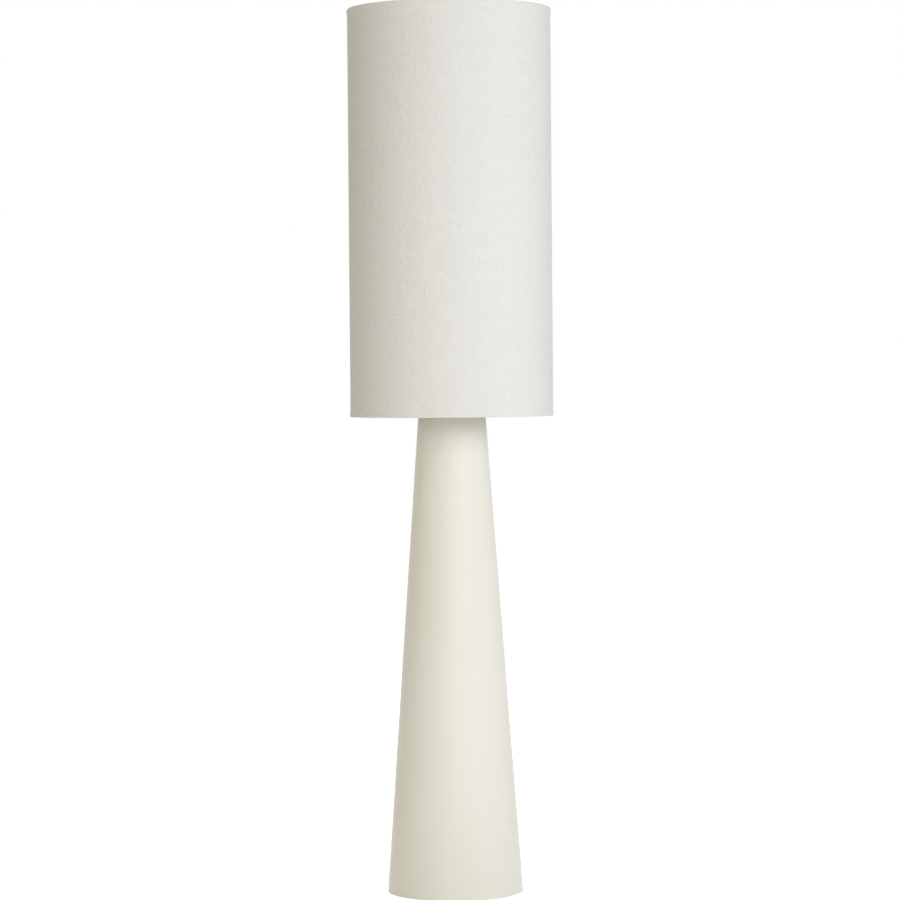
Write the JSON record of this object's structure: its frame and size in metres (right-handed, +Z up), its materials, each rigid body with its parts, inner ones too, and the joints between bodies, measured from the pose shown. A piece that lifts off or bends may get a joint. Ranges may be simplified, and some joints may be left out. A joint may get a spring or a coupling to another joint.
{
  "type": "column floor lamp",
  "caption": "Floor lamp: a tall linen drum shade on a wire harp over a smooth tapered metal column with a weighted, felted foot.",
  "frame": {"origin": "on the floor, under the middle of the round foot", "axes": "+Z up the column; -Y is the front with the switch knob; +Y is the back with the cord outlet and the shade's seam; +X is to the right as seen from the front"},
  "size_m": [0.3564, 0.3564, 1.5449],
  "materials": {
    "cream_paint": "satin powder coat",
    "linen": "slubbed oatmeal linen weave",
    "lining_plastic": "translucent white lining",
    "white_wire": "white coated wire",
    "satin_brass": "brushed and lacquered",
    "plated_steel": "zinc plated",
    "cast_iron": "rough black casting",
    "felt": "dense dark felt",
    "bushing_plastic": "ivory moulded",
    "fibre": "brown insulating fibre",
    "phenolic": "black moulded",
    "contact_brass": "plain brass",
    "bulb_metal": "thin rolled screw cap",
    "solder": "dull solder",
    "black_glass": "dark vitreous insulator",
    "opal_glass": "soft white coated glass"
  },
  "bodies": {
    "base": {"felt_pad": "felt", "base_plate": "plated_steel", "base_screws": "plated_steel", "base_weight": "cast_iron", "bottom_washer": "plated_steel", "bottom_nut": "plated_steel", "centre_pipe": "plated_steel", "column_shell": "cream_paint", "cord_bushing": "bushing_plastic", "top_cap": "cream_paint", "riser_collar": "satin_brass", "riser_tube": "satin_brass", "harp_saddle": "satin_brass", "socket_cap": "satin_brass", "socket_set_screw": "plated_steel", "socket_shell": "satin_brass", "socket_liner": "fibre", "socket_core": "phenolic", "terminal_screws": "contact_brass", "thread_sleeve": "contact_brass", "centre_contact": "contact_brass"},
    "harp": {"harp": "satin_brass"},
    "left_sleeve": {"harp_sleeve_left": "satin_brass"},
    "right_sleeve": {"harp_sleeve_right": "satin_brass"},
    "post": {"harp_post": "satin_brass"},
    "shade": {"spider": "white_wire", "shade_top_ring": "white_wire", "shade_bottom_ring": "white_wire", "shade_lining": "lining_plastic", "shade_cover": "linen"},
    "washer": {"finial_washer": "satin_brass"},
    "finial": {"finial": "satin_brass"},
    "switch": {"switch_stem": "plated_steel", "switch_cam": "phenolic", "switch_knob": "phenolic"},
    "bulb_tip": {"bulb_contact": "solder"},
    "bulb": {"bulb_insulator": "black_glass", "bulb_cap": "bulb_metal", "bulb_globe": "opal_glass"}
  },
  "joints": [
    {"name": "harp_lift", "type": "slide", "parent": "base", "child": "harp", "axis": [0, 0, 1], "range_m": [0, 0.04]},
    {"name": "sleeve_left_lift", "type": "slide", "parent": "harp", "child": "left_sleeve", "axis": [0, 0, 1], "range_m": [0, 0.015]},
    {"name": "sleeve_right_lift", "type": "slide", "parent": "harp", "child": "right_sleeve", "axis": [0, 0, 1], "range_m": [0, 0.015]},
    {"name": "shade_swivel", "type": "hinge", "parent": "harp", "child": "post", "pos_m": [0, 0, 1.5064], "axis": [0, 0, 1], "continuous": true},
    {"name": "shade_lift", "type": "slide", "parent": "post", "child": "shade", "axis": [0, 0, 1], "range_m": [0, 0.72]},
    {"name": "finial_rise", "type": "slide", "parent": "shade", "child": "washer", "axis": [0, 0, 1], "range_m": [0, 0.0134]},
    {"name": "finial_turn", "type": "hinge", "parent": "washer", "child": "finial", "pos_m": [0, 0, 1.5164], "axis": [0, 0, 1], "range_deg": [0, 5040]},
    {"name": "switch_turn", "type": "hinge", "parent": "base", "child": "switch", "pos_m": [0, -0.02, 1.2344], "axis": [0, 1, 0], "continuous": true},
    {"name": "bulb_rise", "type": "slide", "parent": "base", "child": "bulb_tip", "axis": [0, 0, 1], "range_m": [0, 0.022]},
    {"name": "bulb_turn", "type": "hinge", "parent": "bulb_tip", "child": "bulb", "pos_m": [0, 0, 1.245], "axis": [0, 0, 1], "range_deg": [0, 2160]}
  ],
  "couplings": [
    {"joint": "finial_rise", "follows": "finial_turn", "m_per_rad": 0.00014972},
    {"joint": "bulb_rise", "follows": "bulb_turn", "m_per_rad": 0.0005775}
  ]
}
